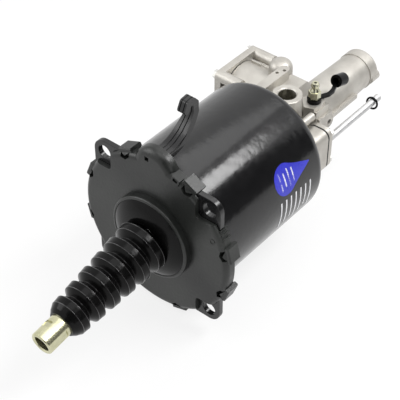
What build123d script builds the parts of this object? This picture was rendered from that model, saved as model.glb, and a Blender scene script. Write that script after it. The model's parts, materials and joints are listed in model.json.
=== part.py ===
from build123d import *
import math
import os

os.makedirs("parts", exist_ok=True)

# Air-assisted hydraulic clutch actuator of a truck, with its rod at full reach.
# Origin: middle of the mounting ears' front face. +X is the way the rod pushes, +Z is up.
# All sizes are in millimetres.

# Air cylinder and the plate that bolts it to the gearbox
barrel_radius = 65.0
barrel_wall = 2.5
barrel_length = 150.0
barrel_shoulder = 10.5
rear_floor_width = 35.0
rear_opening_radius = barrel_radius - rear_floor_width
flange_thickness = 5.0
flange_rim = 10.5
flange_radius = barrel_radius + flange_rim
mount_hole_radius = 6.5
ear_reach = 14.0
mount_circle_radius = barrel_radius + ear_reach
ear_offset = mount_circle_radius / math.sqrt(2)
ear_corner_radius = 11.0
ear_half_width = ear_offset + ear_corner_radius + 0.1

# Moulded front cover
cover_face = 4.2
cover_skirt_wall = 1.8
cover_skirt_length = 6.0
cover_edge_radius = 5.0
notch_half = ear_offset - 10.9
notch_corner_radius = 4.0
collar_radius = 40.0
collar_height = 6.5
collar_rounding = 1.8
clip_width = 14.0
clip_thickness = 3.0
clip_angles = (-20.0, 14.0, 62.0, 113.0, 158.0, 195.0, 248.0, 288.0)
spigot_wall = 2.7
hood_radius = 22.0
hood_rise = 10.5

# Piston, ball joint and push rod
stroke = 70.0
piston_thickness = 16.0
piston_front = -8.0
piston_web = 6.0
piston_hub_radius = 17.0
ball_x = 2.0
ball_radius = 11.0
liner_wall = 2.92
rod_radius = 8.0
rod_neck_radius = 6.5
rod_neck_length = 22.0
rod_cone_length = 3.0
rod_droop = 8.5
rod_end_radius = 10.5
rod_end_length = 34.0
rod_reach = 138.0
rod_end_flats = 19.0
rod_thread_radius = 7.2

# Bellows
lobe_count = 6
first_lobe = 20.1
last_lobe_setback = 34.3
last_lobe = rod_reach - last_lobe_setback
first_lobe_radius = 24.1
last_lobe_radius = 17.8
lobe_depth = 6.6
lobe_crest_width = 6.4
bellows_wall = 1.6
lip_setback = 23.5
bellows_lip = rod_reach - lip_setback
bead_radius = 37.5

# Cast head behind the barrel, with the hydraulic cylinder and its plunger
head_gap = 0.3
head_front = -barrel_length - head_gap
head_base_margin = 18.5
head_base_radius = barrel_radius - head_base_margin
head_base_rear = head_front - 21.2
spigot_reach = 9.0
bush_length = 20.0
plunger_radius = 12.5
plunger_guide = 13.7
hydraulic_bore = 13.0
hydraulic_radius = 20.5
hydraulic_rear_radius = 18.2
hydraulic_rear = head_front - 139.7
end_cap_length = 13.0

# Wear indicator pin
pin_radius = 3.35
pin_inset = 25.0
pin_y = barrel_radius - pin_inset
pin_spare = 10.0
pin_outer = head_front - 120.7
ring_section = 1.0
ring_inner_radius = 4.5

# Control valve, its axis along Y
valve_x = head_front - 42.7
valve_z = 7.0
valve_radius = 27.0
valve_face = -63.5
valve_inner = -24.0
valve_bore = 20.0
valve_cover_half = 30.0
valve_cover_thickness = 7.0
valve_bolt_offset = 24.5
valve_bolt_bite = 16.2
valve_depth = 22.0
relay_stroke = 4.0

# Air port and bleed screw, both facing up
port_x = head_front - 17.7
port_y = 7.0
port_top = 48.0
port_radius = 14.0
port_thread_radius = 8.2
port_thread_length = 18.0
bleed_x = head_front - 41.7
bleed_to_pin = 20.0
bleed_y = pin_y - bleed_to_pin
bleed_base = 32.0
bleed_radius = 4.0

# Clearances
running_gap = 0.08
body_gap = 0.3
seat_gap = 0.05

low = (Align.CENTER, Align.CENTER, Align.MIN)


def bar_x(radius, x_from, x_to, y=0.0, z=0.0):
    """Round bar along X."""
    start = min(x_from, x_to)
    return Pos(start, y, z) * Rot(0, 90, 0) * Cylinder(radius, abs(x_to - x_from), align=low)


def ring_x(outer, inner, x_from, x_to, y=0.0, z=0.0):
    """Flat ring across X."""
    return bar_x(outer, x_from, x_to, y, z) - bar_x(inner, x_from, x_to, y, z)


def bar_y(radius, y_from, y_to, x, z):
    """Round bar along Y."""
    start = min(y_from, y_to)
    return Pos(x, start, z) * Rot(-90, 0, 0) * Cylinder(radius, abs(y_to - y_from), align=low)


def bar_z(radius, z_from, z_to, x, y):
    """Round bar along Z."""
    return Pos(x, y, min(z_from, z_to)) * Cylinder(radius, abs(z_to - z_from), align=low)


def block(x_from, x_to, y_from, y_to, z_from, z_to):
    """Box between two corners."""
    middle = Pos((x_from + x_to) / 2, (y_from + y_to) / 2, (z_from + z_to) / 2)
    return middle * Box(abs(x_to - x_from), abs(y_to - y_from), abs(z_to - z_from))


def turned(*outline):
    """Solid turned about the X axis from (x, radius) points."""
    return revolve(make_face(Polyline(*outline, close=True)), Axis.X)


def plate_x(sketch, x_from, x_to):
    """Plate across X from a sketch in (Y, Z)."""
    return extrude(Plane.YZ.offset(min(x_from, x_to)) * sketch, abs(x_to - x_from))


def around(solid, angle):
    """The solid turned about the X axis, from +Y towards +Z."""
    return Rot(angle, 0, 0) * solid


def ends(solid, axis, last):
    """Round edges at one end of a solid."""
    return solid.edges().group_by(axis)[-1 if last else 0]


def save(name, *solids):
    """Write one node, a group of solids where there are several."""
    shape = solids[0] if len(solids) == 1 else Compound(children=list(solids))
    export_step(shape, f"parts/{name}.step")


# Barrel: deep-drawn steel cup, open to the front, with rounded rear shoulder
barrel_bore = barrel_radius - barrel_wall
barrel_rear = -barrel_length
barrel_floor = barrel_rear + barrel_wall
screw_circle_radius = barrel_radius - 24.0
head_screw_radius = 3.0
head_screw_angles = (45, 135, 225, 315)
pin_hole_radius = pin_radius + running_gap
screw_spots = [
    (
        screw_circle_radius * math.cos(math.radians(a)),
        screw_circle_radius * math.sin(math.radians(a)),
    )
    for a in head_screw_angles
]


def make_barrel():
    outside = bar_x(barrel_radius, barrel_rear, 0)
    outside = fillet(ends(outside, Axis.X, False), barrel_shoulder)
    inside = bar_x(barrel_bore, barrel_floor, 0)
    inside = fillet(ends(inside, Axis.X, False), barrel_shoulder - barrel_wall)
    cup = outside - inside - bar_x(rear_opening_radius, barrel_rear, barrel_floor)
    cup -= bar_x(pin_radius + 1.0, barrel_rear, barrel_floor, pin_y)
    for y, z in screw_spots:
        cup -= bar_x(head_screw_radius + seat_gap, barrel_rear, barrel_floor, y, z)
    return cup


save("barrel", make_barrel())


# Mounting flange: round plate with four square ears, pressed over the barrel's mouth
ear_spots = [(sy * ear_offset, sz * ear_offset) for sy in (-1, 1) for sz in (-1, 1)]


def flange_outline(margin):
    """Round plate united with the square that makes the ears."""
    side = 2 * (ear_half_width + margin)
    return Circle(flange_radius + margin) + RectangleRounded(side, side, ear_corner_radius + margin)


def make_flange():
    outline = flange_outline(0) - Circle(barrel_radius + seat_gap)
    outline -= Locations(*ear_spots) * Circle(mount_hole_radius)
    return plate_x(outline, -flange_thickness, 0)


save("mounting_flange", make_flange())


# Front cover: moulded lid with corner notches, snap clips, collar and breather socket
cover_back = body_gap
cover_front = cover_back + cover_face
skirt_gap = 0.2
cover_radius = flange_radius + skirt_gap + cover_skirt_wall
collar_front = cover_front + collar_height
collar_seat = 7.0
hub_bore = 27.0
tube_width = 15.0
tube_thickness = 6.2
tube_y = 3.0
tube_seat = cover_radius + 4.0
tube_mouth = -1.0
hood_back = -6.0
eye_angle = 71.0


def make_clip():
    """Snap clip at +Y: arm outside the skirt, hook behind the flange."""
    inside, outside = cover_radius - 0.9, cover_radius + clip_thickness
    hook_x = -flange_thickness - body_gap
    tip_x = hook_x - 5.7
    outline = Polyline(
        (2.0, inside),
        (2.0, outside - 1.0),
        (1.0, outside),
        (tip_x + 1.0, outside),
        (tip_x, outside - 1.0),
        (tip_x, inside),
        (hook_x, flange_radius - 1.9),
        (hook_x, inside),
        close=True,
    )
    return Pos(0, 0, -clip_width / 2) * extrude(make_face(outline), clip_width)


def make_window():
    """Chevron window in the cover's edge beside a clip at +Y."""
    near, far, half = cover_radius - 6.0, cover_radius - 0.4, 5.0
    outline = Polyline(
        (near, 0), (near + 2.2, half), (far, half), (far - 2.4, 0), (far, -half), (near + 2.2, -half), close=True
    )
    return plate_x(make_face(outline), -1.0, cover_front + 1.0)


def make_hood():
    """Rounded hood in the rim that the breather tube plugs into from behind."""
    hood = bar_x(hood_radius, hood_back, cover_front, 0, cover_radius + hood_rise - hood_radius)
    hood = fillet(ends(hood, Axis.X, True), 7.0)
    return hood - bar_x(cover_radius - cover_skirt_wall, hood_back, cover_back)


def make_eye():
    """Square eye that stands on the rim beside the hood, at +Y."""
    ring = Rectangle(7.0, 8.0) - Pos(0.6, 0) * Rectangle(3.4, 4.4)
    return plate_x(Pos(cover_radius - 1.0, 0) * ring, -1.0, cover_front + 0.8)


def make_cover():
    lid = bar_x(cover_radius, -cover_skirt_length, cover_front)
    lid = fillet(ends(lid, Axis.X, True), cover_edge_radius)
    lid -= plate_x(flange_outline(skirt_gap), -cover_skirt_length, cover_back)
    spigot_radius = barrel_bore - body_gap
    lid += bar_x(spigot_radius, -flange_thickness, cover_back) - bar_x(
        spigot_radius - spigot_wall, -flange_thickness, cover_back
    )
    collar = bar_x(collar_radius, cover_back, collar_front)
    lid += fillet(ends(collar, Axis.X, True), collar_rounding)
    reach = 2 * cover_radius
    corner = RectangleRounded(reach, reach, notch_corner_radius)
    middle = notch_half + reach / 2
    corners = Sketch() + Locations(*[(sy * middle, sz * middle) for sy in (-1, 1) for sz in (-1, 1)]) * corner
    lid -= plate_x(corners, -cover_skirt_length - 1, collar_front + 1)
    ribbed = Circle(spigot_radius - spigot_wall - 2.0) - Circle(collar_radius + 3.0)
    ribbed -= PolarLocations(0, 4) * Rectangle(2 * barrel_radius, 3.0)
    lid -= plate_x(ribbed, cover_back, cover_back + 1.8)
    lid += make_hood()
    pocket_half = tube_width / 2 + 0.1
    pocket_rise = tube_thickness / 2 + 0.1
    lid -= block(hood_back, tube_mouth, tube_y - pocket_half, tube_y + pocket_half,
                 tube_seat - pocket_rise, tube_seat + pocket_rise)
    lid -= block(1.0, cover_front, -7.0, -3.0, cover_radius - 1.0, cover_radius + 3.0)
    for angle in clip_angles:
        lid += around(make_clip(), angle)
        lid -= around(make_window(), angle)
    lid += around(make_eye(), eye_angle)
    # Comb of three short ribs on the rim and a small moulded ring on the face
    for angle in (25.0, 28.0, 31.0):
        lid += around(block(-cover_skirt_length - 2.0, 1.0, cover_radius - 1.0, cover_radius + 1.6, -0.5, 0.5), angle)
    lid += around(ring_x(2.7, 2.0, cover_front, cover_front + 0.4, cover_radius - 8.5), 25.0)
    lid -= plate_x(flange_outline(skirt_gap) - Circle(barrel_radius), -flange_thickness - body_gap, cover_back)
    lid -= bar_x(hub_bore, cover_back - 1, collar_front)
    lid -= bar_x(bead_radius + seat_gap, collar_seat, collar_front)
    return lid


save("front_cover", make_cover())


# Breather tube: flat moulded cane that leaves the cover's rim and turns down at its end
cane_rise = [(-4.0, 0.0), (-13.0, 0.0), (-20.0, 2.0), (-29.0, 7.0), (-37.0, 15.0), (-42.5, 22.5), (-43.0, 30.0),
             (-39.5, 34.0), (-34.5, 33.5), (-32.0, 28.5)]
cane_points = [(x, tube_seat + rise) for x, rise in cane_rise]


def band(points, radius, half_width):
    """Flat band of round-ended links along points in the plane of X and Z."""
    solid = None
    for (x1, z1), (x2, z2) in zip(points, points[1:]):
        length = math.hypot(x2 - x1, z2 - z1)
        turn = math.degrees(math.atan2(z2 - z1, x2 - x1))
        link = Pos((x1 + x2) / 2, (z1 + z2) / 2) * Rot(0, 0, turn) * SlotCenterToCenter(length, 2 * radius)
        piece = extrude(Plane.XZ.offset(-half_width) * link, 2 * half_width)
        solid = piece if solid is None else solid + piece
    return solid


def make_tube():
    half, tip_half, thick = tube_width / 2, 4.0, tube_thickness / 2
    cane = band(cane_points, thick, half - 1.2) + band(cane_points, thick - 1.0, half)
    bottom, wide, narrow, top = tube_seat - 12, tube_seat + 2, tube_seat + 26, tube_seat + 45
    taper = FilletPolyline((-half, bottom), (half, bottom), (half, wide), (tip_half, narrow), (tip_half, top),
                           (-tip_half, top), (-tip_half, narrow), (-half, wide), radius=1.0, close=True)
    cane &= extrude(Plane.YZ.offset(-60) * make_face(taper), 60)
    groove = band(cane_points, thick + 1, 0.45) - band(cane_points, thick - 0.8, 0.5)
    for side in (-1, 1):
        cane -= Pos(0, 1.9 * side, 0) * groove
    base_cut = block(tube_mouth - 0.2, 10, -20, 20, bottom, tube_seat + 20)
    return Pos(0, tube_y, 0) * (cane - base_cut - band(cane_points, 1.4, 0.9))


save("breather_tube", make_tube())


# Air piston with seal and guide band
piston_back = piston_front - piston_thickness
piston_hub_front = ball_x + 10.0
piston_radius = barrel_bore - body_gap
socket_radius = ball_radius + liner_wall + 2 * running_gap
groove_depth = 4.2
rim_wall = 7.7
groove_floor = piston_radius - groove_depth
seal_groove = (piston_front - 7.0, piston_front - 2.5)
band_groove = (piston_back + 1.5, piston_back + 7.0)
clip_ring_x = ball_x + 7.6
clip_ring_thickness = 1.2
spigot_radius = 7.9
plunger_seat_depth = 9.0


def make_piston():
    web_back = piston_front - piston_web
    rim_inside = piston_radius - rim_wall
    disc = turned(
        (piston_hub_front, 0),
        (piston_hub_front, piston_hub_radius),
        (piston_front, piston_hub_radius),
        (piston_front, piston_radius),
        (piston_back, piston_radius),
        (piston_back, rim_inside + 1.0),
        (web_back, rim_inside),
        (web_back, piston_hub_radius + 5.0),
        (piston_back, piston_hub_radius),
        (piston_back, 0),
    )
    for start, end in (seal_groove, band_groove):
        disc -= bar_x(piston_radius + 1, start, end) - bar_x(groove_floor, start, end)
    disc -= Pos(ball_x, 0, 0) * Sphere(socket_radius)
    disc -= bar_x(socket_radius, ball_x, piston_hub_front)
    disc -= bar_x(socket_radius + 1.0, clip_ring_x, clip_ring_x + clip_ring_thickness)
    disc -= bar_x(spigot_radius + seat_gap, piston_back, piston_back + plunger_seat_depth)
    return disc


save("booster_piston", make_piston())
sealing_radius = barrel_bore - running_gap
save("piston_seal", ring_x(sealing_radius, groove_floor + seat_gap, seal_groove[0] + seat_gap, seal_groove[1] - seat_gap))
save("piston_guide_band", ring_x(sealing_radius, groove_floor + seat_gap, band_groove[0] + seat_gap, band_groove[1] - seat_gap))


# Ball joint: split liner held in the piston's hub, and the rod's ball inside it
def make_liner():
    outer = ball_radius + running_gap + liner_wall
    cut = ball_x + 6.0
    liner = Pos(ball_x, 0, 0) * Sphere(outer) - Pos(ball_x, 0, 0) * Sphere(ball_radius + running_gap)
    return liner - bar_x(outer + 1, cut, cut + outer) - bar_x(4.0, ball_x - outer - 1, ball_x)


save("ball_liner", make_liner())
save("liner_retaining_ring", ring_x(socket_radius + 0.9, 11.5, clip_ring_x + seat_gap, clip_ring_x + clip_ring_thickness - seat_gap))

# The rod and what it carries are made along X from the ball's centre, then drooped about it
droop = Pos(ball_x, 0, 0) * Rot(0, rod_droop, 0)
rod_end_start = rod_reach - rod_end_length
rod_stud_radius = 6.9
rod_stud_length = 12.0


def make_rod():
    cone_end = rod_neck_length + rod_cone_length
    rod = bar_x(rod_neck_radius, 0, rod_neck_length)
    rod += turned((rod_neck_length, 0), (rod_neck_length, rod_neck_radius), (cone_end, rod_radius),
                  (rod_end_start, rod_radius), (rod_end_start, 0))
    rod += bar_x(rod_stud_radius, rod_end_start, rod_end_start + rod_stud_length)
    return rod + Sphere(ball_radius)


def make_rod_end():
    end = bar_x(rod_end_radius, rod_end_start, rod_reach)
    end = chamfer(ends(end, Axis.X, True), 1.0)
    for side in (-1, 1):
        flat = block(rod_reach - 20, rod_reach + 1, -rod_end_radius, rod_end_radius, rod_end_flats / 2, rod_end_flats)
        end -= around(flat, 90 * side)
    end -= bar_x(rod_thread_radius, rod_end_start + rod_stud_length + 1.0, rod_reach)
    end -= turned(
        (rod_reach - 1.0, 0), (rod_reach - 1.0, rod_thread_radius), (rod_reach, rod_thread_radius + 1.0), (rod_reach, 0)
    )
    notch = block(rod_reach - 17.0, rod_reach - 11.0, -5.0, 5.0, rod_end_radius - 1.8, rod_end_radius + 1.0)
    end -= around(notch, 30)
    return end - bar_x(rod_stud_radius + seat_gap, rod_end_start, rod_end_start + rod_stud_length + 1.0)


save("push_rod", droop * make_rod())
save("rod_end", droop * make_rod_end())


# Bellows: domed base held in the collar, six lobes down the drooped rod and a lip on the rod end
def make_bellows():
    pitch = (last_lobe - first_lobe) / (lobe_count - 1)
    half_crest = lobe_crest_width / 2
    outline = [(12.4, 19.6)]
    for i in range(lobe_count):
        share = i / (lobe_count - 1)
        crest = first_lobe_radius + (last_lobe_radius - first_lobe_radius) * share
        centre = first_lobe + pitch * i
        outline += [(centre - half_crest, crest), (centre + half_crest, crest - 0.6)]
        if i < lobe_count - 1:
            outline.append((centre + pitch / 2, crest - lobe_depth))
    lip_radius = rod_end_radius + running_gap + bellows_wall
    outline += [(bellows_lip - 3.0, lip_radius + 2.6), (bellows_lip, lip_radius)]
    upper = FilletPolyline(*outline, radius=0.8)
    (start_x, start_r), (end_x, end_r) = outline[0], outline[-1]
    floor = Polyline((end_x, end_r), (end_x, 0), (start_x, 0), (start_x, start_r))
    outside = revolve(make_face(upper + floor), Axis.X)
    hollow = [(s, r - bellows_wall) for s, r in outline[:-2]]
    hollow += [(bellows_lip - 5.0, rod_end_radius + running_gap), (bellows_lip, rod_end_radius + running_gap)]
    inside = turned((start_x, 0), *hollow, (end_x, 0))
    dome_start = collar_front - 0.3
    dome_side = ThreePointArc((dome_start, bead_radius), (14.6, 29.5), (16.6, 19.6))
    dome = Polyline((16.6, 19.6), (16.6, 0), (collar_seat + seat_gap, 0), (collar_seat + seat_gap, bead_radius),
                    (dome_start, bead_radius))
    base = revolve(make_face(dome_side + dome), Axis.X)
    hollow_side = ThreePointArc((9.0, 35.0), (12.6, 28.0), (14.6, 18.0))
    hollow_dome = Polyline((14.6, 18.0), (17.5, 18.0), (17.5, 0), (6, 0), (6, 35.0), (9.0, 35.0))
    hollow_base = revolve(make_face(hollow_side + hollow_dome), Axis.X)
    return (base + droop * outside) - hollow_base - droop * inside


save("bellows", make_bellows())


# Plunger, its guide bush and seals; at full reach the plunger still passes right through the bush
bush_front = head_front + spigot_reach
bush_back = bush_front - bush_length
bush_radius = 16.0
plunger_front = piston_back
plunger_back = bush_back - plunger_guide


def make_plunger():
    plunger = bar_x(plunger_radius, plunger_back, plunger_front)
    plunger = chamfer(ends(plunger, Axis.X, False), 1.0)
    plunger += bar_x(spigot_radius, plunger_front, plunger_front + plunger_seat_depth - 0.5)
    groove = bar_x(plunger_radius + 1, plunger_back + 3, plunger_back + 7) - bar_x(10.0, plunger_back + 3, plunger_back + 7)
    return plunger - groove


save("plunger", make_plunger())
save("plunger_seal", ring_x(hydraulic_bore - running_gap, 10.0 + seat_gap, plunger_back + 3 + seat_gap, plunger_back + 7 - seat_gap))
save("guide_bush", ring_x(bush_radius, plunger_radius + running_gap, bush_back, bush_front - 1.5))
save("bush_retaining_ring", ring_x(bush_radius + 0.9, plunger_radius + 1.0, bush_front - 1.45, bush_front - 0.25))


# Preload spring that pushes the piston forward
def make_coil(radius, wire, turns, length):
    """Coil along +Z from the origin; its round wire is drawn with eight sides."""
    path = Helix(pitch=(length - 2 * wire) / turns, height=length - 2 * wire, radius=radius)
    section = Plane(origin=path @ 0, z_dir=path % 0) * RegularPolygon(wire, 8)
    return Pos(0, 0, wire) * sweep(section, path=path)


spring_front = piston_front - piston_web - body_gap
spring_back = barrel_floor + body_gap
spring_wire = 2.0
spring_radius = piston_radius - rim_wall - spring_wire - 2.5
preload_coil = make_coil(spring_radius, spring_wire, 5, spring_front - spring_back)
save("preload_spring", Pos(spring_back, 0, 0) * Rot(0, 90, 0) * preload_coil)


# Wear indicator pin and its rubber ring
pin_inner = piston_back - stroke - pin_spare
save("wear_indicator_pin", chamfer(ends(bar_x(pin_radius, pin_outer, pin_inner, pin_y), Axis.X, False), 0.6))


def make_pin_ring():
    hang = ring_inner_radius - pin_radius - 0.06
    ring = Torus(ring_inner_radius + ring_section, ring_section)
    return Pos(pin_outer + 10.5, pin_y, -hang) * Rot(0, 82, 0) * ring


save("pin_ring", make_pin_ring())


# Cast head: base against the barrel, hydraulic cylinder, valve housing, ports and bosses
base_disc_rear = head_front - 10.0
neck_rear = head_front - 25.0
neck_to_pin = 12.0
cylinder_neck_radius = pin_y - neck_to_pin
screw_boss_y = pin_y - 10.0
screw_boss_z = bleed_base - 2.0
side_gasket_gap = 1.8
side_cover_thickness = 4.5
side_cover_front = head_base_rear - side_gasket_gap
side_cover_back = side_cover_front - side_cover_thickness
side_half_width, side_half_height = 11.5, 22.0
side_y, side_z = pin_y, 2.0
side_spots = [(side_y + 7.0, side_z + dz) for dz in (15.0, -14.0)]
valve_gasket_gap = 0.8
valve_corners = [(sx * valve_bolt_offset, sz * valve_bolt_offset) for sx in (-1, 1) for sz in (-1, 1)]
sleeve_radius = 5.8
sleeve_face = valve_face - valve_gasket_gap + seat_gap
valve_bolt_radius = 2.5
sleeve_end = valve_face + 19.5


def make_side_outline():
    return Pos(side_y, side_z) * RectangleRounded(2 * side_half_width, 2 * side_half_height, 8.0)


def make_valve_housing():
    """Cup for the control valve with a rounded inner end and four bolt sleeves on webs."""
    housing = bar_y(valve_radius, valve_face, valve_inner, valve_x, valve_z)
    housing = fillet(ends(housing, Axis.Y, True), 9.0)
    housing += bar_y(valve_radius - 6, valve_inner, 0, valve_x + 2, valve_z)
    for dx, dz in valve_corners:
        reach = math.hypot(dx, dz)
        web = block(-1.6, 1.6, valve_face + 6, sleeve_end - 1, 0, reach)
        housing += Pos(valve_x, 0, valve_z) * Rot(0, math.degrees(math.atan2(dx, dz)), 0) * web
        housing += bar_y(sleeve_radius, sleeve_face, sleeve_end, valve_x + dx, valve_z + dz)
    top_rib = block(valve_x - 12.0, valve_x - 10.5, valve_face + 4, sleeve_end - 5, valve_z, valve_z + valve_radius)
    return housing + top_rib


def make_neck_web():
    """Webs that join the valve housing, the air port and the hydraulic cylinder."""
    slope = Polyline(
        (port_x, 0), (port_x, port_top - 8), (valve_x - 10, port_top - 8), (valve_x - 33, 16), (valve_x - 33, 0),
        close=True
    )
    web = extrude(Plane.XZ.offset(14.0) * make_face(slope), -18.0)
    # Flat strip between the dome and the barrel, rounded at its outer end
    strip = Pos(valve_x + 17, -15.8) * SlotOverall(46.0, 9.6)
    web += extrude(Plane.XY.offset(10.0) * strip, port_top + 2.0 - 10.0)
    web += block(valve_x - 4, head_front, -27.0, -12.0, 10.0, port_top - 8.0)
    return web


def make_bleed_boss():
    """Boss under the bleed screw with two fins and an eye on its outer side."""
    corners = [(2, -12), (13, -2), (10, 7), (-7, 7), (-13, 1)]
    outline = Polyline(*[(bleed_x + dx, bleed_y + dy) for dx, dy in corners], close=True)
    boss = extrude(Plane.XY.offset(8.0) * make_face(outline), bleed_base - 8.0)
    boss += bar_z(8.5, 0, bleed_base, bleed_x, bleed_y)
    boss += block(bleed_x - 10, bleed_x + 9, bleed_y, bleed_y + 9.5, 8.0, bleed_base - 4.0)
    boss += block(bleed_x - 13, bleed_x + 7, bleed_y, bleed_y + 12.0, 4.0, bleed_base - 12.0)
    boss += bar_y(6.5, 8.0, bleed_y + 12.0, bleed_x - 9, 9.0)
    return boss - bar_y(2.6, bleed_y + 3.0, bleed_y + 12.0, bleed_x - 9, 9.0)


def make_head():
    head = bar_x(head_base_radius, base_disc_rear, head_front)
    head = chamfer(ends(head, Axis.X, False), 2.0)
    head += turned((head_front, 0), (head_front, cylinder_neck_radius), (neck_rear, cylinder_neck_radius),
                   (neck_rear - 20.0, hydraulic_radius), (hydraulic_rear, hydraulic_rear_radius), (hydraulic_rear, 0))
    head += plate_x(make_side_outline(), head_base_rear, head_front)
    head += bar_x(rear_opening_radius - seat_gap, head_front, bush_front)
    head += make_valve_housing()
    # Domed passage plug behind the upper sleeve
    dome = bar_z(11.0, valve_z, port_top + 2.5, valve_x - 9.5, -25.5)
    head += fillet(ends(dome, Axis.Z, True), 8.5)
    head += make_neck_web()
    port = bar_z(port_radius, 10.0, port_top, port_x, port_y)
    head += chamfer(ends(port, Axis.Z, True), 0.8)
    head += make_bleed_boss()
    # Rib along the hydraulic cylinder and the screw boss on the base
    head += block(hydraulic_rear + 28, head_base_rear, 16.0, 22.5, -4.5, 0.0)
    head += bar_x(3.8, head_front - 25.0, head_front, screw_boss_y, screw_boss_z)
    # Two small blind holes in the strip's end
    for dx, dy in ((8.0, -17.0), (1.0, -14.0)):
        head -= bar_z(1.6, port_top - 1.0, port_top + 2.0, valve_x + dx, dy)
    # Bores
    head -= bar_x(hydraulic_bore, hydraulic_rear, bush_front)
    head -= bar_x(bush_radius + seat_gap, bush_back, bush_front)
    head -= bar_x(bush_radius + 1.0, bush_front - 1.5, bush_front - 0.2)
    head -= bar_x(pin_hole_radius, head_base_rear - 1, head_front, pin_y)
    head -= bar_y(valve_bore, valve_face, valve_face + valve_depth, valve_x, valve_z)
    head -= bar_y(8.0, valve_face, valve_inner - 2, valve_x, valve_z)
    head -= bar_z(port_thread_radius, port_top - port_thread_length, port_top, port_x, port_y)
    mouth = Pos(port_x, port_y, port_top - 1.0) * Cone(port_thread_radius, port_thread_radius + 1.0, 1.0, align=low)
    head -= mouth
    head -= bar_z(bleed_radius + running_gap, bleed_base - 14, bleed_base, bleed_x, bleed_y)
    for y, z in screw_spots:
        head -= bar_x(head_screw_radius + seat_gap, head_front - 9, head_front, y, z)
    for y, z in side_spots:
        head -= bar_x(2.0 + seat_gap, head_base_rear, head_base_rear + 9, y, z)
    for dx, dz in valve_corners:
        head -= bar_y(valve_bolt_radius + seat_gap, sleeve_face, valve_face + valve_depth, valve_x + dx, valve_z + dz)
    return head


save("head_casting", make_head())


# Screws with round or hexagon heads
def make_screw(shank_radius, shank_length, head_size, head_height, hexagon=True):
    """Screw along +Z with its head below the origin."""
    shank = Cylinder(shank_radius, shank_length, align=low)
    if hexagon:
        top = extrude(RegularPolygon(head_size, 6, major_radius=False), -head_height)
    else:
        top = Pos(0, 0, -head_height) * Cylinder(head_size, head_height, align=low)
    return shank + top


def along_x_back(x, y, z):
    """Place for something made along +Z that is to point to -X."""
    return Pos(x, y, z) * Rot(0, -90, 0)


head_screws = [
    along_x_back(barrel_floor, y, z) * make_screw(head_screw_radius, 11.0, 5.0, 4.0, False) for y, z in screw_spots
]
save("head_screws", *head_screws)
side_plate = plate_x(make_side_outline(), side_cover_back, side_cover_front)
side_plate -= bar_x(pin_hole_radius, side_cover_back, side_cover_front, pin_y)
side_gasket = plate_x(make_side_outline(), side_cover_front + seat_gap, head_base_rear - seat_gap)
side_gasket -= bar_x(pin_radius + 1.0, side_cover_front, head_base_rear, pin_y)
for y, z in side_spots:
    side_plate -= bar_x(2.0 + seat_gap, side_cover_back, side_cover_front, y, z)
    side_gasket -= bar_x(2.0 + seat_gap, side_cover_front, head_base_rear, y, z)
save("side_cover", side_plate)
save("side_cover_gasket", side_gasket)
save("side_cover_screws", *[
    Pos(side_cover_back, y, z) * Rot(0, 90, 0) * make_screw(2.0, 14.0, 3.8, 3.4) for y, z in side_spots
])


# Valve cover on the four sleeves, round gasket and four bolts
cover_y = valve_face - valve_gasket_gap
valve_outline = RectangleRounded(2 * valve_cover_half, 2 * valve_cover_half, 5.0)
bolt_holes = Locations(*valve_corners) * Circle(valve_bolt_radius + seat_gap)


def plate_y(sketch, y_from, y_to):
    """Plate across Y from a sketch in (X, Z) about the valve's axis."""
    placed = Plane(origin=(valve_x, max(y_from, y_to), valve_z), x_dir=(1, 0, 0), z_dir=(0, -1, 0)) * sketch
    return extrude(placed, abs(y_to - y_from))


valve_cover = plate_y(valve_outline - bolt_holes, cover_y - valve_cover_thickness, cover_y)
raised = plate_y(Circle(19.0), cover_y - valve_cover_thickness - 3.0, cover_y - valve_cover_thickness)
save("valve_cover", valve_cover + fillet(ends(raised, Axis.Y, False), 1.5))
gasket_outline = Circle(valve_radius - 0.5) - Circle(valve_bore)
save("valve_gasket", plate_y(gasket_outline, cover_y + seat_gap, valve_face - seat_gap))
save("valve_cover_bolts", *[
    Pos(valve_x + dx, cover_y - valve_cover_thickness, valve_z + dz) * Rot(-90, 0, 0)
    * make_screw(valve_bolt_radius, valve_cover_thickness + valve_gasket_gap + valve_bolt_bite, 4.0, 3.6) for dx, dz in valve_corners
])

# Relay piston, its spring and the inlet valve inside the valve housing
relay_front = valve_face + 2.0
relay_back = relay_front + 6.0
floor_y = valve_face + valve_depth
relay = bar_y(valve_bore - running_gap, relay_front, relay_back, valve_x, valve_z)
relay += bar_y(4.0, relay_back, floor_y + 2.0, valve_x, valve_z)
save("relay_valve_piston", relay)
relay_coil = make_coil(11.0, 0.9, 3, floor_y - relay_back - 0.6)
save("relay_valve_spring", Pos(valve_x, relay_back + 0.3, valve_z) * Rot(-90, 0, 0) * relay_coil)
inlet_front = floor_y + 2.0 + relay_stroke + body_gap
inlet = bar_y(8.0 - seat_gap, inlet_front, inlet_front + 3.0, valve_x, valve_z)
save("inlet_valve", inlet + bar_y(3.0, inlet_front + 3.0, valve_inner - 2.1, valve_x, valve_z))


# End cap of the hydraulic cylinder with the inlet port's boss
cap_radius = hydraulic_rear_radius + 0.8
inlet_y = cap_radius - 4.5
inlet_z = -3.0
inlet_boss_radius = 5.5
inlet_boss_rise = 1.0


def make_end_cap():
    cap_rear = hydraulic_rear - end_cap_length
    cap = bar_x(cap_radius, cap_rear, hydraulic_rear - seat_gap)
    cap = fillet(ends(cap, Axis.X, False), 3.0)
    boss_rear = cap_rear - inlet_boss_rise
    cap += bar_x(inlet_boss_radius, boss_rear, hydraulic_rear - 2, inlet_y, inlet_z)
    cap += bar_x(hydraulic_bore - seat_gap, hydraulic_rear - 1, hydraulic_rear + 6)
    return cap - bar_x(4.0, boss_rear, boss_rear + 12.0, inlet_y, inlet_z)


save("cylinder_end_cap", make_end_cap())


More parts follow.
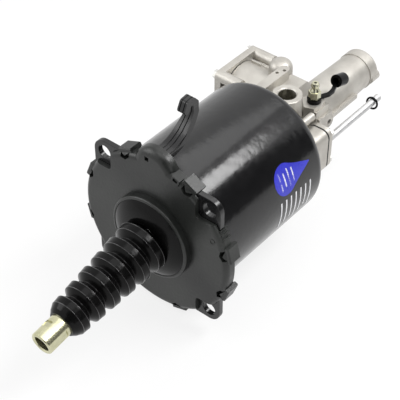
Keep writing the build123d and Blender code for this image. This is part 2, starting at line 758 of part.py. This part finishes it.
# Bleed screw, and its rubber cap on a strap
def make_bleed_screw():
    screw = bar_z(bleed_radius, bleed_base - 12, bleed_base + 4, bleed_x, bleed_y)
    hexagon = Pos(bleed_x, bleed_y, bleed_base + 3.9) * extrude(RegularPolygon(5.0, 6, major_radius=False), 7.6)
    nipple = [(0, 11), (4.2, 11), (4.2, 12), (2.6, 14.6), (2.6, 15.4), (3.9, 16.8), (3.9, 18.0), (3.0, 20.5), (0, 20.5)]
    turned_nipple = revolve(Plane.XZ * make_face(Polyline(*nipple, close=True)), Axis.Z)
    screw += hexagon + Pos(bleed_x, bleed_y, bleed_base) * turned_nipple
    return screw - bar_z(1.2, bleed_base, bleed_base + 21, bleed_x, bleed_y)


def make_bleed_cap():
    ring = bar_z(6.6, bleed_base + 0.1, bleed_base + 3.8, bleed_x, bleed_y)
    ring -= bar_z(7.6, bleed_base + 1.8, bleed_base + 2.1, bleed_x, bleed_y) - bar_z(6.0, bleed_base, bleed_base + 4, bleed_x, bleed_y)
    strap_route = [(-5.0, 1.0), (-14.0, 5.5), (-20.5, 5.5), (-28.0, 3.0)]
    strap = Pos(bleed_x, bleed_y, bleed_base + 1.7) * Rot(-90, 0, 0) * band(strap_route, 1.9, 1.3)
    place = Pos(bleed_x - 38.5, bleed_y + 1.5, bleed_base + 2.5) * Rot(0, 72, 14)
    cap = fillet(ends(Cylinder(6.0, 14.0), Axis.Z, False), 2.5)
    bulge = Pos(0, 0, 7.0) * Cylinder(5.4, 2.0)
    cap = place * (cap + bulge - Pos(0, 0, 4.0) * Cylinder(3.3, 12))
    return ring + strap + cap - bar_z(bleed_radius + 0.5, bleed_base, bleed_base + 4, bleed_x, bleed_y)


save("bleed_screw", make_bleed_screw())
save("bleed_cap", make_bleed_cap())
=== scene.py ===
import json
import math
import bpy
import mathutils
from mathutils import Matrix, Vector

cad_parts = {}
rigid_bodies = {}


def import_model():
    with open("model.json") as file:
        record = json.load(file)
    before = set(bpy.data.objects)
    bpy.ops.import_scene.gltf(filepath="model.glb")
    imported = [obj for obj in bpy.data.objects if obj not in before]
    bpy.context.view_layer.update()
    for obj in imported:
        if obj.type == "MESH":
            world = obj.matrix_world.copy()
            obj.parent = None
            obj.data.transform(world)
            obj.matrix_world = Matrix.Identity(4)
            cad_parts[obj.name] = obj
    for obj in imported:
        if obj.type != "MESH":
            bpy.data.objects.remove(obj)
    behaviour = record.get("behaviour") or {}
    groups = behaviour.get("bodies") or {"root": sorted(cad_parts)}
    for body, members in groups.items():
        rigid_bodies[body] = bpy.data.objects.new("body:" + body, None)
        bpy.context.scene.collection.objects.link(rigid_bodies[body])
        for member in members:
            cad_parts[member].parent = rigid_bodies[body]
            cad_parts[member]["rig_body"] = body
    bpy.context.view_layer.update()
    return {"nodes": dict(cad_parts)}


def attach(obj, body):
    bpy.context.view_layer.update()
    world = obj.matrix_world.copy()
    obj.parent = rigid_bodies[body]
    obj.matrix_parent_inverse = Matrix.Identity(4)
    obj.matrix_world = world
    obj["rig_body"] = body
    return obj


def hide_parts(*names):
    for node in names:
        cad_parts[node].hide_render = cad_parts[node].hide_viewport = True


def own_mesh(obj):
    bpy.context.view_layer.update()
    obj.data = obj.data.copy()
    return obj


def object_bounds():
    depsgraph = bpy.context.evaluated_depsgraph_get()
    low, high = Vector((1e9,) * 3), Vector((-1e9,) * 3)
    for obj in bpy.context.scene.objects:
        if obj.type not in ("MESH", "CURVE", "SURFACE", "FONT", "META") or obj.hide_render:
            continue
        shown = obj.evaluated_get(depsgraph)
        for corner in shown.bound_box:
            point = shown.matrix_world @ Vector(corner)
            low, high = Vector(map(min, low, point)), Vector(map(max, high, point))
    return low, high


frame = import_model()
bpy.ops.object.select_all(action="DESELECT")

# The barrel is a deep-drawn steel cup with a black gloss coat. The coat is smooth, with the
# faint waviness that drawing leaves. Four screws from inside the barrel hold it to the head.


def grain_group():
    """Two sizes of noise that give a surface its colour patches, roughness and bump."""
    group = bpy.data.node_groups.new("surface_grain", "ShaderNodeTree")
    face = group.interface
    for name, kind, value in [
        ("Colour", "NodeSocketColor", (0.5, 0.5, 0.5, 1)),
        ("Patch Colour", "NodeSocketColor", (0.4, 0.4, 0.4, 1)),
        ("Roughness Low", "NodeSocketFloat", 0.3),
        ("Roughness High", "NodeSocketFloat", 0.4),
        ("Patch Size", "NodeSocketFloat", 60.0),
        ("Grain Size", "NodeSocketFloat", 900.0),
        ("Bump", "NodeSocketFloat", 0.1),
        ("Depth", "NodeSocketFloat", 0.0002),
    ]:
        socket = face.new_socket(name, in_out="INPUT", socket_type=kind)
        socket.default_value = value
    for name, kind in [
        ("Colour", "NodeSocketColor"),
        ("Roughness", "NodeSocketFloat"),
        ("Normal", "NodeSocketVector"),
    ]:
        face.new_socket(name, in_out="OUTPUT", socket_type=kind)
    nodes, links = group.nodes, group.links
    enter, leave = nodes.new("NodeGroupInput"), nodes.new("NodeGroupOutput")
    place = nodes.new("ShaderNodeTexCoord")
    patches, grain = nodes.new("ShaderNodeTexNoise"), nodes.new("ShaderNodeTexNoise")
    patches.inputs["Detail"].default_value = 4
    grain.inputs["Detail"].default_value = 3
    contrast = nodes.new("ShaderNodeMapRange")
    contrast.inputs["From Min"].default_value = 0.35
    contrast.inputs["From Max"].default_value = 0.65
    colour = nodes.new("ShaderNodeMix")
    colour.data_type = "RGBA"
    rough = nodes.new("ShaderNodeMapRange")
    bump = nodes.new("ShaderNodeBump")
    for texture, size in [(patches, "Patch Size"), (grain, "Grain Size")]:
        links.new(place.outputs["Object"], texture.inputs["Vector"])
        links.new(enter.outputs[size], texture.inputs["Scale"])
    links.new(patches.outputs["Fac"], contrast.inputs["Value"])
    links.new(contrast.outputs["Result"], colour.inputs["Factor"])
    links.new(enter.outputs["Colour"], colour.inputs["A"])
    links.new(enter.outputs["Patch Colour"], colour.inputs["B"])
    links.new(grain.outputs["Fac"], rough.inputs["Value"])
    links.new(enter.outputs["Roughness Low"], rough.inputs["To Min"])
    links.new(enter.outputs["Roughness High"], rough.inputs["To Max"])
    links.new(grain.outputs["Fac"], bump.inputs["Height"])
    links.new(enter.outputs["Bump"], bump.inputs["Strength"])
    links.new(enter.outputs["Depth"], bump.inputs["Distance"])
    links.new(colour.outputs["Result"], leave.inputs["Colour"])
    links.new(rough.outputs["Result"], leave.inputs["Roughness"])
    links.new(bump.outputs["Normal"], leave.inputs["Normal"])
    return group


surface_grain = grain_group()
coat_roughness = 0.12


def finish_material(name, colour, patch, rough, patch_size, grain_size, bump, depth,
                    metallic=0.0, coat=0.0, specular=0.5):
    """Principled material that takes its colour, roughness and bump from the grain group.

    The two sizes are the noises' scales, in waves per metre, and depth is in metres."""
    material = bpy.data.materials.new(name)
    material.use_nodes = True
    tree = material.node_tree
    shader = tree.nodes["Principled BSDF"]
    shader.inputs["Metallic"].default_value = metallic
    shader.inputs["Specular IOR Level"].default_value = specular
    shader.inputs["Coat Weight"].default_value = coat
    shader.inputs["Coat Roughness"].default_value = coat_roughness
    grain = tree.nodes.new("ShaderNodeGroup")
    grain.node_tree = surface_grain
    grain.inputs["Colour"].default_value = (*colour, 1)
    grain.inputs["Patch Colour"].default_value = (*patch, 1)
    grain.inputs["Roughness Low"].default_value = rough[0]
    grain.inputs["Roughness High"].default_value = rough[1]
    grain.inputs["Patch Size"].default_value = patch_size
    grain.inputs["Grain Size"].default_value = grain_size
    grain.inputs["Bump"].default_value = bump
    grain.inputs["Depth"].default_value = depth
    tree.links.new(grain.outputs["Colour"], shader.inputs["Base Color"])
    tree.links.new(grain.outputs["Roughness"], shader.inputs["Roughness"])
    tree.links.new(grain.outputs["Normal"], shader.inputs["Normal"])
    return material


def only(piece):
    """Select this piece alone and make it active."""
    bpy.ops.object.select_all(action="DESELECT")
    piece.select_set(True)
    bpy.context.view_layer.objects.active = piece


same_point = 1e-6
flat_angle = math.radians(0.6)
edge_segments = 2


def dressed(node, material, edge=0.0, smooth=35, body=None):
    """Stand-in for a node: merged points, softened edges and smooth round faces."""
    original = frame["nodes"][node]
    body = body or original["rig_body"]
    piece = bpy.data.objects.new(node + "_finish", original.data.copy())
    bpy.context.scene.collection.objects.link(piece)
    only(piece)
    bpy.ops.mesh.customdata_custom_splitnormals_clear()
    bpy.ops.object.mode_set(mode="EDIT")
    bpy.ops.mesh.select_all(action="SELECT")
    bpy.ops.mesh.remove_doubles(threshold=same_point)
    if edge:
        bpy.ops.mesh.dissolve_limited(angle_limit=flat_angle)
    bpy.ops.object.mode_set(mode="OBJECT")
    if edge:
        bevel = piece.modifiers.new("softened edges", "BEVEL")
        bevel.width = edge
        bevel.segments = edge_segments
        bevel.limit_method = "ANGLE"
        bevel.angle_limit = math.radians(smooth)
        bevel.use_clamp_overlap = True
        bpy.ops.object.modifier_apply(modifier=bevel.name)
    bpy.ops.object.shade_smooth_by_angle(angle=math.radians(smooth))
    if edge:
        weighted = piece.modifiers.new("flat faces stay flat", "WEIGHTED_NORMAL")
        weighted.keep_sharp = True
        bpy.ops.object.modifier_apply(modifier=weighted.name)
    piece.data.materials.clear()
    piece.data.materials.append(material)
    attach(piece, body)
    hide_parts(node)
    return piece


black_gloss = finish_material(
    "black_gloss_coat", (0.002, 0.002, 0.0025), (0.004, 0.004, 0.0045), rough=(0.09, 0.24),
    patch_size=30, grain_size=130, bump=0.26, depth=0.0006
)
dressed("barrel", black_gloss)

# A blue drop and plain white bars are screen-printed on the barrel's side under the gloss.
# Each is a thin skin wrapped round the barrel, a tenth of a millimetre proud.
barrel_radius = 0.065
print_height = 0.00012
drop_start, drop_length, drop_half = -0.082, 0.048, 0.0143
drop_angle = math.radians(23)
drop_hollow = 0.45
drop_steps_along, drop_steps_across = 48, 16
bar_count, bar_first, bar_pitch, bar_width = 7, -0.0850, 0.0068, 0.0017
bar_half, bar_half_step, bar_foot_angle = 0.0150, 0.0014, math.radians(7)
line_count, line_first, line_pitch, line_width = 4, -0.0890, 0.0055, 0.0015
line_half, line_half_step = 0.0085, 0.0022


def drop_width(along):
    """Half width of the drop at a distance from its round end, hollow towards the tip."""
    reach = drop_length - drop_half
    touch = drop_half + drop_half ** 2 / reach
    if along < touch:
        return math.sqrt(max(drop_half ** 2 - (along - drop_half) ** 2, 0))
    left = (drop_length - along) / (drop_length - touch)
    hollow = 1 - drop_hollow * left * (1 - left)
    return drop_half * math.sqrt(1 - (drop_half / reach) ** 2) * left * hollow


def printed(name, material, start, length, middle, half_at, columns, rows):
    """Grid laid round the barrel; half_at gives its half width at a distance from the start."""
    bpy.ops.mesh.primitive_grid_add(x_subdivisions=columns, y_subdivisions=rows, size=1)
    piece = bpy.context.active_object
    piece.name = name
    for vertex in piece.data.vertices:
        along = (0.5 - vertex.co.x) * length
        angle = middle + 2 * vertex.co.y * half_at(along) / barrel_radius
        radius = barrel_radius + print_height
        vertex.co = (start - along, radius * math.cos(angle), radius * math.sin(angle))
    only(piece)
    bpy.ops.object.mode_set(mode="EDIT")
    bpy.ops.mesh.select_all(action="SELECT")
    bpy.ops.mesh.remove_doubles(threshold=same_point)
    bpy.ops.mesh.normals_make_consistent(inside=False)
    bpy.ops.object.mode_set(mode="OBJECT")
    bpy.ops.object.shade_smooth()
    piece.data.materials.append(material)
    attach(piece, "housing")


blue_ink = finish_material(
    "blue_print", (0.030, 0.034, 0.40), (0.038, 0.042, 0.46), rough=(0.24, 0.32),
    patch_size=60, grain_size=900, bump=0.03, depth=0.0001, specular=0.3
)
white_ink = finish_material(
    "white_print", (0.62, 0.62, 0.64), (0.72, 0.72, 0.74), rough=(0.34, 0.42),
    patch_size=60, grain_size=900, bump=0.03, depth=0.0001, specular=0.25
)
printed(
    "print_drop", blue_ink, drop_start, drop_length, drop_angle, drop_width,
    drop_steps_along, drop_steps_across
)
for i in range(bar_count):
    start = bar_first - bar_pitch * i
    half = bar_half - bar_half_step * (i % 3)
    middle = bar_foot_angle - half / barrel_radius
    printed(f"print_bar_{i}", white_ink, start, bar_width, middle, lambda along: half, 1, 16)
for i in range(line_count):
    start = line_first - line_pitch * i
    half = line_half - line_half_step * (i % 2)
    printed(f"drop_bar_{i}", white_ink, start, line_width, drop_angle, lambda along: half, 1, 10)

# The eared plate is steel with the same black coat, a little more matt. It is pressed over
# the barrel's mouth, and four bolts through its ears hold the actuator.
satin_black = finish_material(
    "black_satin_coat", (0.004, 0.004, 0.0045), (0.007, 0.007, 0.0075), rough=(0.18, 0.30),
    patch_size=40, grain_size=700, bump=0.12, depth=0.0002
)
dressed("mounting_flange", satin_black, edge=0.0005)

# The front cover is moulded in dark grey plastic, with a fine dull texture. Snap clips round
# its rim hold it on the plate. The breather cane plugs into its hood and has the plate's finish.
moulded_grey = finish_material(
    "dark_moulded_nylon", (0.004, 0.0045, 0.0042), (0.024, 0.026, 0.024), rough=(0.24, 0.44),
    patch_size=13, grain_size=420, bump=0.26, depth=0.0004, specular=0.42
)
dressed("front_cover", moulded_grey, edge=0.0004)
dressed("breather_tube", satin_black, edge=0.0006)

# The rod and its end are turned steel. The end is plated in bright yellow zinc and has two
# flats for a spanner; the rod behind it is plated in plain zinc.
yellow_zinc = finish_material(
    "yellow_zinc_plate", (0.50, 0.49, 0.32), (0.66, 0.64, 0.44), rough=(0.20, 0.36),
    patch_size=110, grain_size=1500, bump=0.10, depth=0.0001, metallic=1.0
)
dressed("rod_end", yellow_zinc, edge=0.0003)
plated_steel = finish_material(
    "zinc_plated_steel", (0.62, 0.62, 0.60), (0.72, 0.71, 0.68), rough=(0.26, 0.40),
    patch_size=120, grain_size=1500, bump=0.10, depth=0.0001, metallic=1.0
)
dressed("push_rod", plated_steel)

# The bores for the lever's stud, the air pipe and the hydraulic pipe are tapped. Each thread is
# wound as one zigzag wall just inside its plain bore.
# The thread walls are painted a dark grey metal that stands for the shade deep inside the bores.
bore_painted_shade = finish_material(
    "thread_painted_shade", (0.10, 0.095, 0.07), (0.16, 0.15, 0.12), rough=(0.30, 0.45),
    patch_size=300, grain_size=1500, bump=0.10, depth=0.0001, metallic=1.0
)


thread_depth, root_gap, thread_steps = 0.3, 0.00003, 40


def thread_wall(name, radius, pitch, length, mouth, outward, body):
    """Tapped wall from the mouth of a bore inwards, wound by the screw modifier."""
    bpy.ops.mesh.primitive_plane_add(size=1)
    piece = bpy.context.active_object
    piece.name = name
    bpy.ops.object.mode_set(mode="EDIT")
    bpy.ops.mesh.select_all(action="DESELECT")
    bpy.ops.object.mode_set(mode="OBJECT")
    piece.data.vertices[3].select = True
    bpy.ops.object.mode_set(mode="EDIT")
    bpy.ops.mesh.delete(type="VERT")
    bpy.ops.object.mode_set(mode="OBJECT")
    # Three corners are left in a chain: crest, root, crest
    depth = thread_depth * pitch
    corners = piece.data.vertices
    corners[1].co = (radius - depth, 0, 0)
    corners[0].co = (radius - root_gap, 0, -pitch / 2)
    corners[2].co = (radius - depth, 0, -pitch)
    winding = piece.modifiers.new("winding", "SCREW")
    winding.axis = "Z"
    winding.screw_offset = -pitch
    winding.iterations = int(length / pitch) - 1
    winding.steps = winding.render_steps = thread_steps
    winding.use_merge_vertices = True
    only(piece)
    bpy.ops.object.modifier_apply(modifier=winding.name)
    turn = mathutils.Vector(outward).to_track_quat("Z", "Y")
    piece.data.transform(mathutils.Matrix.Translation(mouth) @ turn.to_matrix().to_4x4())
    bpy.ops.object.shade_smooth_by_angle(angle=math.radians(30))
    # The wall's dark colour is painted shade for the inside of its bore.
    piece.data.materials.append(bore_painted_shade)
    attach(piece, body)


droop = math.radians(8.5)
rod_aim = (math.cos(droop), 0, -math.sin(droop))
ball_x = 0.002


def on_rod(reach):
    """Point on the drooped rod's axis at a distance from its ball."""
    return [ball_x * (k == 0) + reach * rod_aim[k] for k in range(3)]


rod_thread_reach = 0.1350
port_mouth = (-0.168, 0.007, 0.0468)
inlet_mouth = (-0.3035, 0.0145, -0.003)
for name, radius, pitch, length, mouth, outward, body in [
    ("rod_end_thread", 0.0072, 0.0015, 0.018, on_rod(rod_thread_reach), rod_aim, "push_rod"),
    ("air_port_thread", 0.0082, 0.0015, 0.016, port_mouth, (0, 0, 1), "housing"),
    ("inlet_thread", 0.004, 0.001, 0.011, inlet_mouth, (-1, 0, 0), "housing"),
]:
    thread_wall(name, radius, pitch, length, mouth, outward, body)

# The bellows is moulded black rubber with a soft gloss. Its domed foot stays in the cover's
# collar. Its lobes travel with the rod; on the real part they fold up against the foot as it draws in.
soft_rubber = finish_material(
    "black_rubber", (0.002, 0.002, 0.002), (0.004, 0.004, 0.004), rough=(0.12, 0.25),
    patch_size=50, grain_size=900, bump=0.10, depth=0.0002, specular=0.14
)
bellows_root, bellows_lip, rod_stroke = 0.0165, 0.1145, 0.070
foot_overlap = 0.003
across = (1, 0, 0)


def bellows_part(name, body, lobes):
    """One side of the bellows, cut at the foot's opening."""
    piece = dressed("bellows", soft_rubber, smooth=40, body=body)
    piece.name = name
    only(piece)
    bpy.ops.object.mode_set(mode="EDIT")
    bpy.ops.mesh.select_all(action="SELECT")
    bpy.ops.mesh.bisect(
        plane_co=(bellows_root, 0, 0), plane_no=across, clear_inner=lobes, clear_outer=not lobes
    )
    if lobes:
        # The cut edge reaches on into the foot
        bpy.ops.mesh.extrude_region_move(TRANSFORM_OT_translate={"value": (-foot_overlap, 0, 0)})
    bpy.ops.object.mode_set(mode="OBJECT")
    return piece


bellows_part("bellows_foot", "housing", False)
bellows_lobes = bellows_part("bellows_lobes", "push_rod", True)
# Two fine raised lines run round each lobe
ridge_rubber = finish_material(
    "ridge_rubber", (0.004, 0.004, 0.004), (0.006, 0.006, 0.006), rough=(0.10, 0.16),
    patch_size=50, grain_size=900, bump=0.05, depth=0.0001, coat=0.6
)
lobe_count, first_lobe, last_lobe = 6, 0.0201, 0.1037
first_crest, last_crest, crest_drop, half_crest = 0.0241, 0.0178, 0.0006, 0.0032
ridge_size, ridge_sink = 0.00035, 0.00020
ridge_turn = mathutils.Vector(rod_aim).to_track_quat("Z", "Y").to_euler()
ridges = []
for i in range(lobe_count):
    share = i / (lobe_count - 1)
    centre = first_lobe + (last_lobe - first_lobe) * share
    crest = first_crest + (last_crest - first_crest) * share - ridge_sink
    for reach, radius in [(centre - half_crest, crest), (centre + half_crest, crest - crest_drop)]:
        bpy.ops.mesh.primitive_torus_add(
            major_radius=radius, minor_radius=ridge_size, major_segments=72, minor_segments=8,
            location=on_rod(reach), rotation=ridge_turn
        )
        ring = bpy.context.active_object
        bpy.ops.object.transform_apply(location=True, rotation=True, scale=True)
        bpy.ops.object.shade_smooth()
        ring.data.materials.append(ridge_rubber)
        ridges.append(ring)
only(bellows_lobes)
for ring in ridges:
    ring.select_set(True)
bpy.ops.object.join()
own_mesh(bellows_lobes)

# The head is an aluminium casting, shot-blasted to an even satin grey. Its end cap and its two
# covers have the same finish. Two screws hold the side cover, and four bolts the valve cover.
cast_aluminium = finish_material(
    "shot_blasted_casting", (0.43, 0.41, 0.375), (0.51, 0.49, 0.45), rough=(0.36, 0.52),
    patch_size=70, grain_size=1100, bump=0.35, depth=0.0003, metallic=0.72
)
for node in ("head_casting", "cylinder_end_cap", "side_cover", "valve_cover"):
    dressed(node, cast_aluminium, edge=0.0005)

# The gaskets are matt and dark, between the covers and the head. Screws and bolts are
# zinc-plated steel, the bleed screw is plated yellow, and its cap and the pin's ring are rubber.
dark_gasket = finish_material(
    "dark_gasket", (0.010, 0.010, 0.010), (0.016, 0.016, 0.016), rough=(0.5, 0.7),
    patch_size=80, grain_size=1200, bump=0.2, depth=0.0002, specular=0.25
)
for node in ("side_cover_gasket", "valve_gasket"):
    dressed(node, dark_gasket)
for node in ("side_cover_screws", "valve_cover_bolts"):
    dressed(node, plated_steel, edge=0.0002)
bleed_zinc = finish_material(
    "bleed_screw_zinc", (0.50, 0.49, 0.36), (0.62, 0.61, 0.47), rough=(0.18, 0.30),
    patch_size=120, grain_size=1500, bump=0.08, depth=0.0001, metallic=1.0
)
dressed("bleed_screw", bleed_zinc, edge=0.0002)
for node in ("bleed_cap", "pin_ring"):
    dressed(node, soft_rubber, smooth=50)
bright_steel = finish_material(
    "ground_steel", (0.56, 0.56, 0.56), (0.64, 0.64, 0.64), rough=(0.42, 0.54),
    patch_size=120, grain_size=1500, bump=0.06, depth=0.0001, metallic=1.0
)
dressed("wear_indicator_pin", bright_steel)

# The pieces inside only show with the actuator apart. Each takes the nearest finish from above:
# metal for the pistons, bush, rings and screws, rubber for the seals and the inlet valve, and
# the gaskets' dark one for the guide band and the liner of the rod's ball.
inner_finishes = {
    "booster_piston": plated_steel, "piston_seal": soft_rubber, "piston_guide_band": dark_gasket,
    "plunger": bright_steel, "plunger_seal": soft_rubber, "guide_bush": bright_steel,
    "bush_retaining_ring": plated_steel, "ball_liner": dark_gasket, "liner_retaining_ring": plated_steel,
    "head_screws": plated_steel, "relay_valve_piston": plated_steel, "inlet_valve": soft_rubber,
}
for node, material in inner_finishes.items():
    materials = frame["nodes"][node].data.materials
    materials.clear()
    materials.append(material)

# The two coil springs are wound from steel wire. Each stands on the housing at one end; on
# the real part it shortens as its piston travels.
preload = dressed("preload_spring", plated_steel, smooth=60)
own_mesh(preload)
relay_spring = dressed("relay_valve_spring", plated_steel, smooth=60)
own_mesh(relay_spring)

# The floor is a plain pale plane just below the part. Its own light keeps it white
# for the camera, so that only soft shadows show on it.
floor_size, floor_drop, floor_glow = 6.0, 0.004, 0.8
floor_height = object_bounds()[0][2] - floor_drop
bpy.ops.mesh.primitive_plane_add(size=floor_size, location=(0, 0, floor_height))
floor = bpy.context.active_object
floor.name = "studio_floor"
bpy.ops.object.transform_apply(location=True, rotation=False, scale=False)
floor_paint = bpy.data.materials.new("studio_floor_paint")
floor_paint.use_nodes = True
tree = floor_paint.node_tree
paint = tree.nodes["Principled BSDF"]
paint.inputs["Roughness"].default_value = 0.9
paint.inputs["Base Color"].default_value = (0.92, 0.92, 0.92, 1)
glow = tree.nodes.new("ShaderNodeEmission")
glow.inputs["Strength"].default_value = 1.0


def background_rays(tree):
    """Output that is 1 for rays which see the background: camera, glossy and transmission rays."""
    ray = tree.nodes.new("ShaderNodeLightPath")
    seen = ray.outputs["Is Camera Ray"]
    for name in ("Is Glossy Ray", "Is Transmission Ray"):
        either = tree.nodes.new("ShaderNodeMath")
        either.operation = "MAXIMUM"
        tree.links.new(seen, either.inputs[0])
        tree.links.new(ray.outputs[name], either.inputs[1])
        seen = either.outputs[0]
    return seen


amount = tree.nodes.new("ShaderNodeMath")
amount.operation = "MULTIPLY"
amount.inputs[1].default_value = floor_glow
mix = tree.nodes.new("ShaderNodeMixShader")
tree.links.new(background_rays(tree), amount.inputs[0])
tree.links.new(amount.outputs[0], mix.inputs["Fac"])
tree.links.new(paint.outputs["BSDF"], mix.inputs[1])
tree.links.new(glow.outputs["Emission"], mix.inputs[2])
tree.links.new(mix.outputs["Shader"], tree.nodes["Material Output"].inputs["Surface"])
floor.data.materials.append(floor_paint)

# The room is white for the camera and for reflections, and gives a dimmer even light to
# everything else.
room_light, seen_light = 0.35, 1.0
world = bpy.data.worlds.new("studio")
bpy.context.scene.world = world
world.use_nodes = True
tree = world.node_tree
room = tree.nodes["Background"]
room.inputs["Color"].default_value = (1, 1, 1, 1)
room.inputs["Strength"].default_value = room_light
seen = tree.nodes.new("ShaderNodeBackground")
seen.inputs["Color"].default_value = (1, 1, 1, 1)
seen.inputs["Strength"].default_value = seen_light
mix = tree.nodes.new("ShaderNodeMixShader")
tree.links.new(background_rays(tree), mix.inputs["Fac"])
tree.links.new(room.outputs["Background"], mix.inputs[1])
tree.links.new(seen.outputs["Background"], mix.inputs[2])
tree.links.new(mix.outputs["Shader"], tree.nodes["World Output"].inputs["Surface"])

# A dark grey curtain stands round one side of the studio. Only reflections see it, and it
# gives the gloss black its dark bands.
curtain_radius, curtain_height, curtain_place = 1.7, 2.0, (-0.07, 0, 0.95)
curtain_from, curtain_to = math.radians(5), math.radians(142)
curtain_grey = (0.18, 0.18, 0.18, 1)
bpy.ops.mesh.primitive_cylinder_add(
    vertices=64, radius=curtain_radius, depth=curtain_height, end_fill_type="NOTHING",
    location=curtain_place
)
curtain = bpy.context.active_object
curtain.name = "studio_curtain"
bpy.ops.object.transform_apply(location=True, rotation=False, scale=False)
bpy.ops.object.mode_set(mode="EDIT")
bpy.ops.mesh.select_all(action="DESELECT")
bpy.ops.object.mode_set(mode="OBJECT")
for face in curtain.data.polygons:
    facing = math.atan2(face.center.y, face.center.x)
    face.select = not curtain_from < facing < curtain_to
bpy.ops.object.mode_set(mode="EDIT")
bpy.ops.mesh.delete(type="FACE")
bpy.ops.object.mode_set(mode="OBJECT")
curtain_cloth = bpy.data.materials.new("studio_curtain_cloth")
curtain_cloth.use_nodes = True
cloth = curtain_cloth.node_tree.nodes["Principled BSDF"]
cloth.inputs["Base Color"].default_value = curtain_grey
cloth.inputs["Roughness"].default_value = 0.9
curtain.data.materials.append(curtain_cloth)
curtain.visible_camera = curtain.visible_diffuse = curtain.visible_shadow = False

# Large soft lamps light the part. The first lies along the barrel and makes its long
# highlight; the others fill in from above and from both sides.


def soft_lamp(name, width, height, power, place, turn):
    """Soft rectangular lamp; its width lies along the turned X axis."""
    bpy.ops.object.light_add(type="AREA", location=place, rotation=turn)
    lamp = bpy.context.active_object
    lamp.name = name
    lamp.data.shape = "RECTANGLE"
    lamp.data.size = width
    lamp.data.size_y = height
    lamp.data.energy = power


def towards(place, target):
    """Turn that points a lamp from its place to a target."""
    aim = mathutils.Vector(target) - mathutils.Vector(place)
    return aim.to_track_quat("-Z", "Y").to_euler()


lamp_target = (-0.08, 0.03, 0.06)
strip_tilt, strip_reach, strip_x = math.radians(61), 0.98, -0.46
strip_place = (strip_x, strip_reach * math.cos(strip_tilt), strip_reach * math.sin(strip_tilt))
soft_lamp("lamp_strip", 0.78, 0.34, 9.4, strip_place, (strip_tilt - math.pi / 2, 0, 0))
for name, width, height, power, place in [
    ("lamp_over", 0.9, 0.6, 2.2, (-0.75, -0.25, 1.2)),
    ("lamp_top", 0.8, 0.8, 3.0, (0.15, 0.0, 1.3)),
    ("lamp_left", 0.8, 0.8, 6.0, (0.5, -0.9, 0.7)),
    ("lamp_right", 0.6, 0.8, 2.0, (0.4, 1.1, 0.5)),
]:
    soft_lamp(name, width, height, power, place, towards(place, lamp_target))

# The camera stands where the photograph was taken from.
camera_azimuth = 129.55
camera_elevation = 42.07
camera_place = (0.5532, 0.5030, 0.7090)
camera_turn = (math.radians(90 - camera_elevation), 0, math.radians(camera_azimuth))
bpy.ops.object.camera_add(location=camera_place, rotation=camera_turn)
camera = bpy.context.active_object
camera.data.lens = 111.48
camera.data.sensor_width = 36
camera.data.clip_end = 50
scene = bpy.context.scene
scene.camera = camera
scene.view_settings.view_transform = "Standard"
